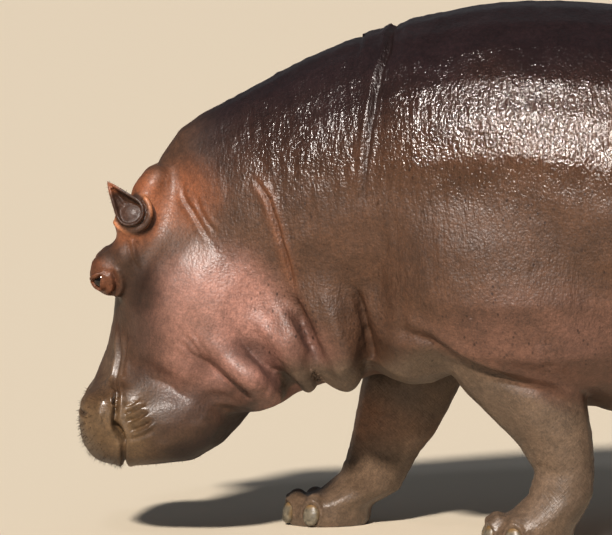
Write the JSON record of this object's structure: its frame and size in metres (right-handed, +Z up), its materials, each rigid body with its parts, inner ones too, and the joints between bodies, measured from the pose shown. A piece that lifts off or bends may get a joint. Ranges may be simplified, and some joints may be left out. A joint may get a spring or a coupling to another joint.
{
  "type": "hippopotamus",
  "caption": "Common hippopotamus cow, a still life-size model walking with its head hung low over the ground.",
  "frame": {"origin": "on the floor, below the middle of the body's length and width", "axes": "-X the way the animal faces, -Y its left side, +Z up"},
  "size_m": [2.737, 0.9988, 1.3471],
  "materials": {
    "skin": "wet bare skin, dark on the back and pink on the cheeks and belly",
    "nail": "horn, dull grey with a yellow-brown root",
    "eye": "wet dark brown eyeball",
    "bristle": "stiff dark bristle"
  },
  "bodies": {
    "root": {"head": "skin", "lower_jaw": "skin", "neck": "skin", "trunk": "skin", "tail": "skin", "ear_left": "skin", "ear_right": "skin", "foreleg_left": "skin", "foreleg_right": "skin", "hindleg_left": "skin", "hindleg_right": "skin", "eye_left": "eye", "eye_right": "eye", "foreleg_left_nail_1": "nail", "foreleg_left_nail_2": "nail", "foreleg_left_nail_3": "nail", "foreleg_left_nail_4": "nail", "foreleg_right_nail_1": "nail", "foreleg_right_nail_2": "nail", "foreleg_right_nail_3": "nail", "foreleg_right_nail_4": "nail", "hindleg_left_nail_1": "nail", "hindleg_left_nail_2": "nail", "hindleg_left_nail_3": "nail", "hindleg_left_nail_4": "nail", "hindleg_right_nail_1": "nail", "hindleg_right_nail_2": "nail", "hindleg_right_nail_3": "nail", "hindleg_right_nail_4": "nail"}
  },
  "joints": []
}
